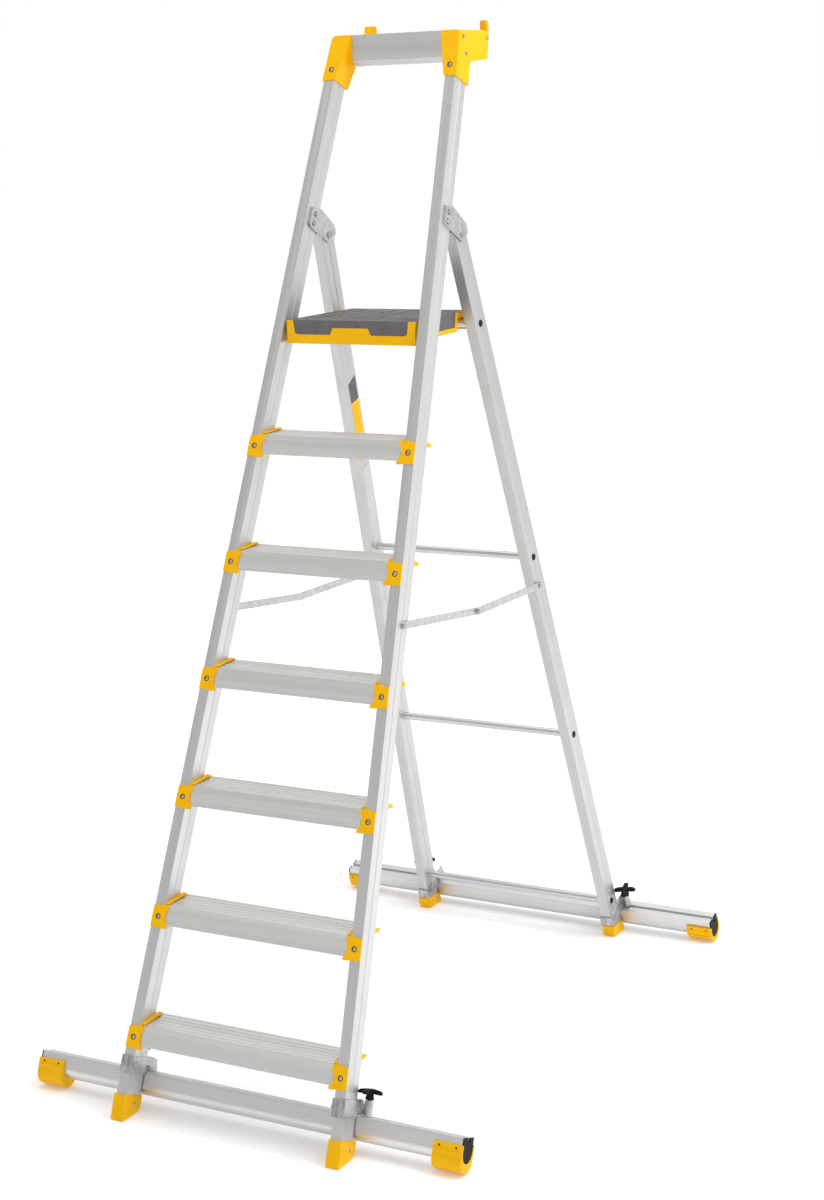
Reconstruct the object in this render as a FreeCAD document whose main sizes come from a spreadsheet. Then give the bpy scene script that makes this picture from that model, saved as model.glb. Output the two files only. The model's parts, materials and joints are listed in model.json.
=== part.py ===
import FreeCAD, Part
import math
import os
import Sketcher

# Aluminium step ladder: a front frame with six treads and a tool tray, a rear frame
# that folds on hinge plates, a tipping platform, two locking spreaders and two
# clamp-on stabiliser bars.  Millimetres, +X to the user's right, -Y to the front,
# +Z up, origin on the floor in the middle of the footprint.

os.makedirs("parts", exist_ok=True)
doc = FreeCAD.newDocument("step_ladder")

# ---------------------------------------------------------------- driving dimensions
DIMENSIONS = [
    ("front_lean", 22.4, "lean of the front stiles from the vertical, degrees"),
    ("rear_lean", 17.6, "lean of the rear stiles from the vertical, degrees"),
    ("front_taper", 2.84, "sideways lean of a front stile in its own plane, degrees"),
    ("rear_taper", 2.97, "sideways lean of a rear stile in its own plane, degrees"),
    ("front_floor_y", -750, "where the front faces of the front stiles meet the floor"),
    ("front_floor_x", 267, "middle of a front stile at the floor"),
    ("stile_wide", 25, "width of a stile across the ladder"),
    ("stile_deep", 50, "depth of a stile front to back"),
    ("stile_wall", 2, "wall of a stile"),
    ("groove_wide", 2.4, "width of the groove along a stile's side"),
    ("groove_deep", 0.9, "depth of the groove along a stile's side"),
    ("front_start", 30, "where a front stile begins along its own length"),
    ("front_end", 2405, "where a front stile ends along its own length"),
    ("step_pitch", 240, "height from one tread to the next"),
    ("first_rivet", 180.5, "first clip rivet, along the stile from the floor"),
    ("first_top", 191, "height of the first tread"),
    ("tread_deep", 78, "depth of a tread"),
    ("tread_face", 41, "height of a tread's front face"),
    ("tread_wall", 2.6, "wall of a tread"),
    ("clip_wall", 5.5, "thickness of a clip's side plate"),
    ("clip_front", 3.5, "thickness of a clip's front plate"),
    ("rivet_head", 4.2, "radius of a rivet head"),
    ("rivet_seat", 6.2, "radius of the recess around a rivet in plastic"),
    ("rivet_shank", 2.5, "radius of a rivet shank"),
    ("hinge_along", 1992, "hinge bolt, along the front stile from the floor"),
    ("hinge_back", 101, "hinge bolt, behind the front face of the front stile"),
    ("hinge_radius", 5, "radius of the hinge bolt"),
    ("hinge_gap", 1.5, "joggle of a hinge plate away from the stile"),
    ("plate_wall", 3, "thickness of the steel hinge plates and links"),
    ("bolt_play", 0.06, "radial play of a bolt or pin in a moving piece"),
    ("rear_above", 18, "length of a rear stile past the hinge bolt"),
    ("rear_start", 12, "where a rear stile begins along its own length"),
    ("bar_radius", 9, "radius of a crossbar tube"),
    ("bar_wall", 1.6, "wall of a crossbar tube"),
    ("plug_radius", 7.2, "radius of a crossbar end plug"),
    ("cap_wall", 3, "wall of a top cap around the stile"),
    ("cap_outer_x", 160, "outer side of a cap's arm"),
    ("cap_inner_x", 113, "inner side of a top cap, where the tray ends"),
    ("cap_top", 2237, "height of the top of the caps"),
    ("nub_top", 2258, "height of the nubs"),
    ("arm_front_y", 173, "front of the cap arms and of the tray"),
    ("tray_wall", 2.5, "wall of the tool tray"),
    ("foot_wall", 3.5, "wall of a foot around its stile"),
    ("foot_round", 2.4, "rounding of a foot's edges"),
    ("spreader_along", 1116, "front spreader pivot along the front stile"),
    ("spreader_back", 28, "front spreader pivot behind the front face"),
    ("spreader_rear", 1023, "rear spreader pivot along the rear stile"),
    ("spreader_off", 10, "rear spreader pivot ahead of the rear stile's middle"),
    ("elbow_y", 38, "spreader elbow, front to back"),
    ("elbow_z", 979, "height of the spreader elbow"),
    ("link_half", 8, "half width of a spreader link"),
    ("link_layer", 225.3, "inner face of the front links"),
    ("layer_gap", 0.5, "gap between the front and the rear links"),
    ("stub_radius", 4, "radius of a spreader pivot"),
    ("deck_z", 1631, "height of the platform"),
    ("deck_front_y", -82, "front edge of the platform"),
    ("deck_rear_y", 188, "rear edge of the platform"),
    ("deck_front_half", 160, "half width of the platform at its front edge"),
    ("deck_rear_half", 149, "half width of the platform at its rear edge"),
    ("deck_pivot_y", -52, "platform pivot, front to back"),
    ("deck_pivot_z", 1604, "height of the platform pivot"),
    ("deck_wall", 7, "wall of the platform's carrier frame"),
    ("deck_plate", 5, "thickness of the grey deck"),
    ("wing_half", 520, "half length of a stabiliser bar"),
    ("wing_wide", 44, "thickness of a stabiliser bar"),
    ("wing_tall", 52, "height of a stabiliser bar"),
    ("wing_wall", 2.5, "wall of a stabiliser bar"),
    ("wing_slot", 9, "width of the groove in a stabiliser bar's top"),
    ("wing_gap", 3, "gap between a stile and its stabiliser bar"),
    ("front_wing_top", 108, "top of the front bar along the front stile"),
    ("rear_wing_top", 52.2, "top of the rear bar along the rear stile"),
    ("shoe_long", 66, "length of a stabiliser shoe"),
    ("shoe_wall", 5, "wall of a stabiliser shoe"),
    ("strap_wall", 3, "thickness of a clamp's steel strap"),
    ("screw_out", 28, "knob axis, out from the middle of the stile"),
    ("tube_radius", 8.5, "radius of a clamp's screw tube"),
    ("screw_radius", 4, "radius of a knob's screw"),
    ("knob_radius", 28.5, "reach of a star knob's arms"),
    ("knob_hub", 9, "radius of a star knob's hub"),
]


class Dim:
    """A number that also carries the spreadsheet expression it came from."""

    def __init__(self, value, text):
        self.value = value
        self.text = text

    def join(self, other, sign, value):
        return Dim(value, "(%s %s %s)" % (self.text, sign, as_dim(other).text))

    def __add__(self, other):
        return self.join(other, "+", self.value + as_dim(other).value)

    def __sub__(self, other):
        return self.join(other, "-", self.value - as_dim(other).value)

    def __mul__(self, other):
        return self.join(other, "*", self.value * as_dim(other).value)

    def __truediv__(self, other):
        return self.join(other, "/", self.value / as_dim(other).value)

    def __neg__(self):
        return self * -1

    def __radd__(self, other):
        return as_dim(other) + self

    def __rsub__(self, other):
        return as_dim(other) - self

    def __rmul__(self, other):
        return as_dim(other) * self


def as_dim(number):
    if isinstance(number, Dim):
        return number
    return Dim(float(number), "%.6f" % number if number >= 0 else "(%.6f)" % number)


sheet = doc.addObject("Spreadsheet::Sheet", "dims")
for row, (alias, number, note) in enumerate(DIMENSIONS, start=1):
    sheet.set("A%d" % row, alias)
    sheet.set("B%d" % row, str(number))
    sheet.setAlias("B%d" % row, alias)
    sheet.set("C%d" % row, note)
doc.recompute()


def size(alias):
    """The driving dimension with this alias, as a value and an expression."""
    return Dim(float(sheet.get(alias)), "dims." + alias)


def number(alias):
    return float(sheet.get(alias))


# ---------------------------------------------------------------- modelling helpers
def origin_plane(body, role):
    return [item for item in body.Origin.OriginFeatures if item.Role == role][0]


def bind(thing, prop, dim):
    setattr(thing, prop, as_dim(dim).value)
    if isinstance(dim, Dim):
        thing.setExpression(prop, dim.text)


def new_sketch(body, name, role):
    sketch = body.newObject("Sketcher::SketchObject", name)
    sketch.AttachmentSupport = (origin_plane(body, role), [""])
    sketch.MapMode = "FlatFace"
    return sketch


def locate(sketch, geometry, point, x, y):
    """Pins one point of the geometry at x, y from the sketch's origin."""
    for kind, dim in (("DistanceX", as_dim(x)), ("DistanceY", as_dim(y))):
        index = sketch.addConstraint(
            Sketcher.Constraint(kind, -1, 1, geometry, point, dim.value))
        sketch.setExpression("Constraints[%d]" % index, dim.text)


def add_outline(sketch, corners):
    """A closed outline of straight edges through the corners."""
    points = [FreeCAD.Vector(as_dim(x).value, as_dim(y).value, 0) for x, y in corners]
    first = sketch.GeometryCount
    count = len(points)
    for i in range(count):
        sketch.addGeometry(Part.LineSegment(points[i], points[(i + 1) % count]), False)
    for i in range(count):
        following = first + (i + 1) % count
        sketch.addConstraint(Sketcher.Constraint("Coincident", first + i, 2, following, 1))
    for i, (x, y) in enumerate(corners):
        locate(sketch, first + i, 1, x, y)


def add_circle(sketch, x, y, radius):
    center = FreeCAD.Vector(as_dim(x).value, as_dim(y).value, 0)
    index = sketch.addGeometry(
        Part.Circle(center, FreeCAD.Vector(0, 0, 1), as_dim(radius).value), False)
    locate(sketch, index, 3, x, y)
    fixed = sketch.addConstraint(
        Sketcher.Constraint("Radius", index, as_dim(radius).value))
    sketch.setExpression("Constraints[%d]" % fixed, as_dim(radius).text)


def add_rounded_link(sketch, length, radius):
    """A flat link's outline from the origin along +X, with two round ends."""
    reach = as_dim(length).value
    half = as_dim(radius).value
    up = FreeCAD.Vector(0, 0, 1)
    left = Part.Circle(FreeCAD.Vector(0, 0, 0), up, half)
    right = Part.Circle(FreeCAD.Vector(reach, 0, 0), up, half)
    quarter = math.pi / 2
    sketch.addGeometry(Part.ArcOfCircle(left, quarter, 3 * quarter), False)
    sketch.addGeometry(
        Part.LineSegment(FreeCAD.Vector(0, -half, 0), FreeCAD.Vector(reach, -half, 0)), False)
    sketch.addGeometry(Part.ArcOfCircle(right, -quarter, quarter), False)
    sketch.addGeometry(
        Part.LineSegment(FreeCAD.Vector(reach, half, 0), FreeCAD.Vector(0, half, 0)), False)
    for constraint in (("Tangent", 0, 2, 1, 1), ("Tangent", 1, 2, 2, 1),
                       ("Tangent", 2, 2, 3, 1), ("Tangent", 3, 2, 0, 1)):
        sketch.addConstraint(Sketcher.Constraint(*constraint))
    locate(sketch, 0, 3, 0, 0)
    locate(sketch, 2, 3, length, 0)
    fixed = sketch.addConstraint(Sketcher.Constraint("Radius", 0, half))
    sketch.setExpression("Constraints[%d]" % fixed, as_dim(radius).text)


def pad(body, sketch, length, middle=False, backwards=False):
    feature = body.newObject("PartDesign::Pad", sketch.Name + "_pad")
    feature.Profile = sketch
    bind(feature, "Length", length)
    feature.Midplane = middle
    feature.Reversed = backwards
    doc.recompute()
    return feature


def pocket(body, sketch, length, middle=False, backwards=False):
    before = body.Shape.Volume
    feature = body.newObject("PartDesign::Pocket", sketch.Name + "_pocket")
    feature.Profile = sketch
    bind(feature, "Length", length)
    feature.Midplane = middle
    feature.Reversed = backwards
    doc.recompute()
    if body.Shape.Volume >= before - 1e-6:
        raise RuntimeError("%s cuts nothing" % feature.Name)
    return feature


def cylinder(name, radius, height):
    thing = doc.addObject("Part::Cylinder", name)
    bind(thing, "Radius", radius)
    bind(thing, "Height", height)
    return thing


def block(name, length, width, height):
    thing = doc.addObject("Part::Box", name)
    bind(thing, "Length", length)
    bind(thing, "Width", width)
    bind(thing, "Height", height)
    return thing


def prism(name, outline, low, high):
    """An upright solid over a plan outline, between two heights."""
    body = doc.addObject("PartDesign::Body", name)
    sketch = new_sketch(body, name + "_plan", "XY_Plane")
    add_outline(sketch, outline)
    sketch.AttachmentOffset = FreeCAD.Placement(
        FreeCAD.Vector(0, 0, as_dim(low).value), FreeCAD.Rotation())
    pad(body, sketch, as_dim(high) - low)
    return body


def profile_slab(name, role, outline, thick, offset=0.0):
    """A slab of the outline on an origin plane, centred or from an offset."""
    body = doc.addObject("PartDesign::Body", name)
    sketch = new_sketch(body, name + "_outline", role)
    add_outline(sketch, outline)
    sketch.AttachmentOffset = FreeCAD.Placement(FreeCAD.Vector(0, 0, offset), FreeCAD.Rotation())
    pad(body, sketch, as_dim(thick), middle=offset == 0.0)
    return body


def boolean(kind, name, things):
    """A Part::MultiFuse or Part::MultiCommon of several things."""
    feature = doc.addObject("Part::" + kind, name)
    feature.Shapes = things
    return feature


def group(name, things):
    """Separate solids that share one node, such as identical rivets."""
    feature = doc.addObject("Part::Compound", name)
    feature.Links = things
    return feature


def cut(name, base, tool):
    feature = doc.addObject("Part::Cut", name)
    feature.Base = base
    feature.Tool = tool
    return feature


def along(direction):
    """The rotation that turns +Z into the direction."""
    return FreeCAD.Rotation(FreeCAD.Vector(0, 0, 1), direction)


PIECES = {}
PASSAGES = {}


def node(thing, label, placement=None):
    """Registers a sub-part; the placement is applied on top of its own."""
    if placement is not None:
        thing.Placement = placement.multiply(thing.Placement)
    PIECES[label] = thing
    return thing


def passes(tool, *labels):
    """Records that a fastener, tube or bore goes through the named sub-parts."""
    for label in labels:
        PASSAGES.setdefault(label, []).append(tool)
    return tool


# ---------------------------------------------------------------- the two leaning frames
X_AXIS = FreeCAD.Vector(1, 0, 0)
Y_AXIS = FreeCAD.Vector(0, 1, 0)
Z_AXIS = FreeCAD.Vector(0, 0, 1)

FRONT_LEAN = math.radians(number("front_lean"))
REAR_LEAN = math.radians(number("rear_lean"))
SIDES = (("left", -1), ("right", 1))


def front_point(x, back, up_along):
    """A point of the front frame: x, distance behind the front plane, distance along it."""
    return FreeCAD.Vector(
        x,
        number("front_floor_y") + up_along * math.sin(FRONT_LEAN) + back * math.cos(FRONT_LEAN),
        up_along * math.cos(FRONT_LEAN) - back * math.sin(FRONT_LEAN))


HINGE = front_point(0, number("hinge_back"), number("hinge_along"))
HINGE_R = HINGE.z / math.cos(REAR_LEAN)
REAR_FLOOR_Y = HINGE.y + HINGE.z * math.tan(REAR_LEAN)
FRONT_TURN = FreeCAD.Rotation(X_AXIS, -number("front_lean"))
REAR_TURN = FreeCAD.Rotation(X_AXIS, number("rear_lean"))
HINGE_X = (number("front_floor_x")
           - number("hinge_along") * math.tan(math.radians(number("front_taper"))))
REAR_FLOOR_X = HINGE_X + HINGE_R * math.tan(math.radians(number("rear_taper")))


def rear_point(x, back, up_along):
    """A point of the rear frame, measured from the middle plane of its stiles."""
    return FreeCAD.Vector(
        x,
        REAR_FLOOR_Y - up_along * math.sin(REAR_LEAN) + back * math.cos(REAR_LEAN),
        up_along * math.cos(REAR_LEAN) + back * math.sin(REAR_LEAN))


def front_frame(side):
    """Local axes of a front stile: X across, Y back from its front face, Z along it."""
    taper = FreeCAD.Rotation(Y_AXIS, -side * number("front_taper"))
    base = front_point(side * number("front_floor_x"), 0, 0)
    return FreeCAD.Placement(base, FRONT_TURN.multiply(taper))


def rear_frame(side):
    """Local axes of a rear stile: X across, Y back from its middle, Z along it."""
    taper = FreeCAD.Rotation(Y_AXIS, -side * number("rear_taper"))
    base = rear_point(side * REAR_FLOOR_X, 0, 0)
    return FreeCAD.Placement(base, REAR_TURN.multiply(taper))


def front_half(up_along):
    """Half spacing of the front stiles' middles at a distance along the front plane."""
    return number("front_floor_x") - up_along * math.tan(math.radians(number("front_taper")))


def rear_half(up_along):
    return REAR_FLOOR_X - up_along * math.tan(math.radians(number("rear_taper")))


half_wide = size("stile_wide") * 0.5
half_deep = size("stile_deep") * 0.5
wall = size("stile_wall")


def stile(name, near, far, start, end, placement):
    """A hollow rectangular stile, grooved along its sides, between two distances."""
    body = doc.addObject("PartDesign::Body", name)
    sketch = new_sketch(body, name + "_section", "XY_Plane")
    middle = (near + far) * 0.5
    deep = size("groove_deep")
    half = size("groove_wide") * 0.5
    add_outline(sketch, [
        (-half_wide, near), (half_wide, near),
        (half_wide, middle - half), (half_wide - deep, middle - half * 0.5),
        (half_wide - deep, middle + half * 0.5), (half_wide, middle + half),
        (half_wide, far), (-half_wide, far),
        (-half_wide, middle + half), (-half_wide + deep, middle + half * 0.5),
        (-half_wide + deep, middle - half * 0.5), (-half_wide, middle - half)])
    add_outline(sketch, [(-half_wide + wall, near + wall), (half_wide - wall, near + wall),
                         (half_wide - wall, far - wall), (-half_wide + wall, far - wall)])
    pad(body, sketch, end - start)
    shift = FreeCAD.Placement(FreeCAD.Vector(0, 0, as_dim(start).value), FreeCAD.Rotation())
    return body, placement.multiply(shift)


# ---------------------------------------------------------------- stiles
REAR_END = HINGE_R + number("rear_above")
CROSSBARS = (102.2, 601.4, 1092.4, 1682.3)

for side_name, side in SIDES:
    body, place = stile("front_stile_" + side_name, as_dim(0), size("stile_deep"),
                        size("front_start"), size("front_end"), front_frame(side))
    node(body, "front_stile_" + side_name, place)

    name = "rear_stile_" + side_name
    body, place = stile(name, -half_deep, half_deep, size("rear_start"),
                        as_dim(REAR_END), rear_frame(side))
    node(body, name, place)
    bore = cylinder(name + "_bore", size("hinge_radius") + size("bolt_play"),
                    size("stile_wide") * 2)
    bore.Placement = FreeCAD.Placement(
        FreeCAD.Vector(side * HINGE_X - number("stile_wide"), HINGE.y, HINGE.z), along(X_AXIS))
    passes(bore, name)

# ---------------------------------------------------------------- treads
tan_lean = Dim(math.tan(FRONT_LEAN), "tan(dims.front_lean)")
RIB_LINES = (12, 26, 40, 54, 68)
RIB_TALL = 1.0
RIB_HALF = 1.6
STEPS = range(6)


def tread_profile():
    """Front face down the slope of the stiles, flat ribbed top, short rear wall."""
    deep = size("tread_deep")
    face = size("tread_face")
    thick = size("tread_wall")
    slope = tan_lean
    top = [(0, 0)]
    for line in RIB_LINES:
        top += [(line - RIB_HALF, 0), (line - RIB_HALF + 0.5, RIB_TALL),
                (line + RIB_HALF - 0.5, RIB_TALL), (line + RIB_HALF, 0)]
    rear = [(deep - 3, 0), (deep, -3), (deep, -22), (deep - thick, -22),
            (deep - thick, -thick - 3), (deep - thick - 3, -thick)]
    lip = [(thick - slope * thick, -thick),
           (thick - slope * (face - thick), thick - face),
           (10 - slope * face, thick - face), (10 - slope * face, -face),
           (-slope * face, -face)]
    return top + rear + lip


for step in STEPS:
    name = "tread_%d" % (step + 1)
    rise = step * number("step_pitch")
    height = number("first_top") + rise
    rear_along = (height * math.cos(FRONT_LEAN)
                  + (height * math.tan(FRONT_LEAN) + number("tread_deep")) * math.sin(FRONT_LEAN))
    half_long = front_half(rear_along) - number("stile_wide") / 2 - number("clip_wall") - 0.6
    body = doc.addObject("PartDesign::Body", name)
    sketch = new_sketch(body, name + "_profile", "YZ_Plane")
    add_outline(sketch, tread_profile())
    pad(body, sketch, as_dim(2 * half_long), middle=True)
    front_y = number("front_floor_y") + height * math.tan(FRONT_LEAN)
    node(body, name, FreeCAD.Placement(FreeCAD.Vector(0, front_y, height), FreeCAD.Rotation()))

# ---------------------------------------------------------------- step clips and rivets
# A clip's front plate lies on the stile and its side plate closes the tread's end.
PLATE_TOP, PLATE_LOW = 25.0, -23.5
SIDE_OUTLINE = ((0, 30.2), (59, 57.9), (90, 50), (117, 47), (116.5, 41), (84, 32), (85, 17),
                (5, -20), (0, PLATE_LOW))
LEDGE_OUTLINE = ((0, 30.2), (59, 57.9), (59, 55.9), (0, 28.8))
LEDGE_WIDE = 6.0
PER_STEP = (size("step_pitch") / Dim(math.cos(FRONT_LEAN), "cos(dims.front_lean)")
            / Dim(math.cos(math.radians(number("front_taper"))), "cos(dims.front_taper)"))


def clip(name, side, up_along):
    outer = half_wide * side
    inner = -half_wide * side
    front = size("clip_front")
    plate = doc.addObject("PartDesign::Body", name)
    face = new_sketch(plate, name + "_plate", "XZ_Plane")
    outline = [(outer, up_along + PLATE_TOP - 3), (outer, up_along + PLATE_LOW),
               (inner - 15 * side, up_along + PLATE_LOW - 1), (inner - 16 * side, up_along - 19),
               (inner - 8 * side, up_along - 11), (inner - 6 * side, up_along),
               (inner - 7.5 * side, up_along + 11), (inner - 12 * side, up_along + 19),
               (inner - 10 * side, up_along + PLATE_TOP),
               (inner, up_along + PLATE_TOP + 2)]
    add_outline(face, outline)
    pad(plate, face, front)
    wing = new_sketch(plate, name + "_side", "YZ_Plane")
    add_outline(wing, [(y, up_along + z) for y, z in SIDE_OUTLINE])
    wing.AttachmentOffset = FreeCAD.Placement(
        FreeCAD.Vector(0, 0, as_dim(inner).value), FreeCAD.Rotation())
    wing.setExpression("AttachmentOffset.Base.z", inner.text)
    pad(plate, wing, size("clip_wall"), backwards=side > 0)
    ledge = new_sketch(plate, name + "_ledge", "YZ_Plane")
    add_outline(ledge, [(y, up_along + z) for y, z in LEDGE_OUTLINE])
    ledge.AttachmentOffset = FreeCAD.Placement(
        FreeCAD.Vector(0, 0, as_dim(inner).value), FreeCAD.Rotation())
    ledge.setExpression("AttachmentOffset.Base.z", inner.text)
    pad(plate, ledge, size("clip_wall") + LEDGE_WIDE, backwards=side > 0)
    return plate


def rivet(name, shank):
    """A domed head at the origin pointing along -Y, with a shank along +Y."""
    head = size("rivet_head")
    body = doc.addObject("PartDesign::Body", name)
    sketch = new_sketch(body, name + "_half", "XY_Plane")
    add_outline(sketch, [(0, -2.2), (head * 0.55, -1.9), (head, -0.6), (head, 0),
                         (size("rivet_shank"), 0), (size("rivet_shank"), shank), (0, shank)])
    spin = body.newObject("PartDesign::Revolution", name + "_spin")
    spin.Profile = sketch
    spin.ReferenceAxis = (sketch, ["V_Axis"])
    spin.Angle = 360
    doc.recompute()
    return body


SEAT_DEEP = 1.0


def place_at(point, direction):
    """The placement that puts a rivet's head at the point, its shank along the direction."""
    return FreeCAD.Placement(point, FreeCAD.Rotation(Y_AXIS, direction))


def face_rivet(name, side, cover, up_along, label):
    """A rivet sunk in a round seat in the plastic on a front stile's front face."""
    frame = front_frame(side)
    out = frame.Rotation.multVec(Y_AXIS)
    seat = cylinder(name + "_seat", size("rivet_seat"), SEAT_DEEP + 1)
    floor = frame.multVec(FreeCAD.Vector(-2.5 * side, SEAT_DEEP - cover.value, up_along))
    seat.Placement = FreeCAD.Placement(floor, along(out * -1))
    passes(seat, label)
    head = rivet(name, cover + wall + 1 - SEAT_DEEP)
    head.Placement = place_at(floor, out)
    stile_name = "front_stile_left" if side < 0 else "front_stile_right"
    return passes(head, label, stile_name)


front_rivets = []
for side_name, side in SIDES:
    clips = []
    frame = front_frame(side)
    for step in STEPS:
        up_along = size("first_rivet") + PER_STEP * step
        clips.append(clip("clip_%s_%d" % (side_name, step + 1), side, up_along))
        front_rivets.append(face_rivet(
            "rivet_%s_%d" % (side_name, step + 1), side, size("clip_front"), up_along.value,
            "step_clips_" + side_name))
    node(group("step_clips_" + side_name, clips), "step_clips_" + side_name, frame)

# ---------------------------------------------------------------- top caps and tool tray
# A cap is a boot on the stile, an arm back along the tray and an upright nub.
BOOT_LOW = 2314.0
BOOT_OUTLINE = ((136.7, BOOT_LOW + 2), (167.7, BOOT_LOW), (160.2, 2408.6), (157.4, 2415.5),
                (151, 2418.3), (113, 2418.3))
BOOT_REAR = 59.0
CAP_RIVET = 2342.0
ARM_LEAN = 10.4
ARM_LOW = 2168.0
ARM_PLAN = ((113, -40), (160, -40), (160, 134.8), (133, 152.5), (113, 158.4))
ARM_FRONT_VIEW = ((100, 2150), (160, 2150), (160, 2228), (157.4, 2234.4), (151, 2237), (100, 2237))
ARM_SIDE_VIEW = ((169, 2237), (173, 2227), (173, 2171), (211, ARM_LOW), (345, 2178), (345, 2237))
NUB_START = FreeCAD.Vector(159.2, 310.3, 0)
NUB_END = FreeCAD.Vector(134, 327.1, 0)
NUB_THICK = 6.0


def stile_core(name, side, low, high):
    """A solid with a front stile's outer size, to cut a socket with."""
    core = block(name, size("stile_wide"), size("stile_deep"), as_dim(high - low))
    corner = FreeCAD.Placement(
        FreeCAD.Vector(-number("stile_wide") / 2, 0, low), FreeCAD.Rotation())
    core.Placement = front_frame(side).multiply(corner)
    return core


def mirrored(outline, side):
    """The outline as it is for the right side, or with x turned round for the left."""
    return [(x * side, y) for x, y in outline]


def cap_arm(name, side):
    """The part of a cap behind the stile, cut from three views of it."""
    leaning = prism(name + "_plan", mirrored(ARM_PLAN, side), -110, 60)
    leaning.Placement = FreeCAD.Placement(
        FreeCAD.Vector(0, number("arm_front_y"), number("cap_top")),
        FreeCAD.Rotation(X_AXIS, -ARM_LEAN))
    front_view = profile_slab(name + "_front", "XZ_Plane", mirrored(ARM_FRONT_VIEW, side), 1000)
    side_view = profile_slab(name + "_side", "YZ_Plane", ARM_SIDE_VIEW, 400)
    return boolean("MultiCommon", name, [leaning, front_view, side_view])


def cap_nub(name, side):
    """A thin upright plate along the oblique rear edge of the arm."""
    run = NUB_END - NUB_START
    body = doc.addObject("PartDesign::Body", name)
    sketch = new_sketch(body, name + "_face", "XZ_Plane")
    tall = size("nub_top") - size("cap_top")
    add_outline(sketch, [(0, -6), (run.Length, -6), (run.Length - 1.5, tall - 3),
                         (run.Length - 4, tall), (4, tall), (1.5, tall - 3)])
    pad(body, sketch, as_dim(NUB_THICK), backwards=side > 0)
    turn = math.degrees(math.atan2(run.y, run.x * side))
    body.Placement = FreeCAD.Placement(
        FreeCAD.Vector(side * NUB_START.x, NUB_START.y, number("cap_top")),
        FreeCAD.Rotation(Z_AXIS, turn))
    return body


for side_name, side in SIDES:
    name = "top_cap_" + side_name
    boot = doc.addObject("PartDesign::Body", name + "_boot")
    sketch = new_sketch(boot, name + "_face", "XZ_Plane")
    add_outline(sketch, mirrored(BOOT_OUTLINE, side))
    pad(boot, sketch, size("cap_wall") + BOOT_REAR, backwards=True)
    boot.Placement = FreeCAD.Placement(front_point(0, -number("cap_wall"), 0), FRONT_TURN)
    # The arm is open below behind the stile.
    hollow = block(name + "_hollow", size("cap_outer_x") - size("cap_inner_x") - 8,
                   as_dim(50), as_dim(50))
    corner_x = number("cap_inner_x") + 4 if side > 0 else 4 - number("cap_outer_x")
    hollow.Placement = FreeCAD.Placement(
        FreeCAD.Vector(corner_x, 240, ARM_LOW - 4), FreeCAD.Rotation())
    whole = boolean("MultiFuse", name + "_whole",
                    [boot, cap_arm(name + "_arm", side), cap_nub(name + "_nub", side)])
    open_arm = cut(name + "_open", whole, hollow)
    core = stile_core(name + "_core", side, BOOT_LOW - 20, number("front_end") + 0.2)
    node(cut(name, open_arm, core), name)
    front_rivets.append(face_rivet("rivet_cap_" + side_name, side, size("cap_wall"),
                                   CAP_RIVET, name))


def tray_profile():
    """Open tray: upright front wall, slanted strip below it, floor and rear wall."""
    top = size("cap_top")
    thick = size("tray_wall")
    front = size("arm_front_y") - 0.5
    return [(front, top - 0.5), (front, 2181), (front + 5, 2170), (front + 13, 2168.5),
            (front + 41, 2181), (317, 2184), (325.5, top - 6), (325.5 - thick, top - 6),
            (317.2 - thick, 2184 + thick), (front + 40.2, 2181 + thick), (front + 12.6, 2171.1),
            (front + 6.8, 2172), (front + thick, 2181.6), (front + thick, top - 0.5)]


tray = doc.addObject("PartDesign::Body", "tool_tray")
sketch = new_sketch(tray, "tray_profile", "YZ_Plane")
add_outline(sketch, tray_profile())
pad(tray, sketch, size("cap_inner_x") * 2, middle=True)
node(tray, "tool_tray")

# The middle screw sits on the thicker boot around the stile.
CAP_SCREWS = ((183, 2222, 0), (190, 2186, 2.6), (299, 2220, 0))
screws = []
for side_name, side in SIDES:
    for row, (y, z, proud) in enumerate(CAP_SCREWS):
        head = cylinder("cap_screw_%s_%d" % (side_name, row), 4.2, 2.6)
        start = FreeCAD.Vector(side * (number("cap_outer_x") + proud - 0.4), y, z)
        head.Placement = FreeCAD.Placement(start, along(X_AXIS * side))
        screws.append(passes(head, "top_cap_" + side_name))
node(group("tray_screws", screws), "tray_screws")

# ---------------------------------------------------------------- hinge plates and bolts
PLATE_OUTLINE = ((14, 2029.5), (14, 1992), (24, 1986), (106, 1978.5), (118, 1983), (127, 2006),
                 (123, 2015), (112, 2023), (50, 2037), (45, 2037))
PLATE_RIVETS = ((30, 2019), (29, 1997.5))
PAD_OUTLINE = ((14, 2029.5), (14, 1992), (24, 1986), (49.5, 1983.7), (49.5, 2036.8), (45, 2037))
GAP = number("hinge_gap")


def hinge_plate(name, facing):
    """A joggled steel plate on the side of a stile that faces +X or -X locally."""
    body = doc.addObject("PartDesign::Body", name)
    inner = (half_wide + size("hinge_gap")) * facing
    for part, outline, start, thick in (
            ("plate", PLATE_OUTLINE, inner, size("plate_wall")),
            ("pad", PAD_OUTLINE, half_wide * facing, size("hinge_gap"))):
        sketch = new_sketch(body, "%s_%s" % (name, part), "YZ_Plane")
        sketch.AttachmentOffset = FreeCAD.Placement(
            FreeCAD.Vector(0, 0, start.value), FreeCAD.Rotation())
        sketch.setExpression("AttachmentOffset.Base.z", start.text)
        add_outline(sketch, [(y, z) for y, z in outline])
        pad(body, sketch, thick, backwards=facing < 0)
    return body


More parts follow.
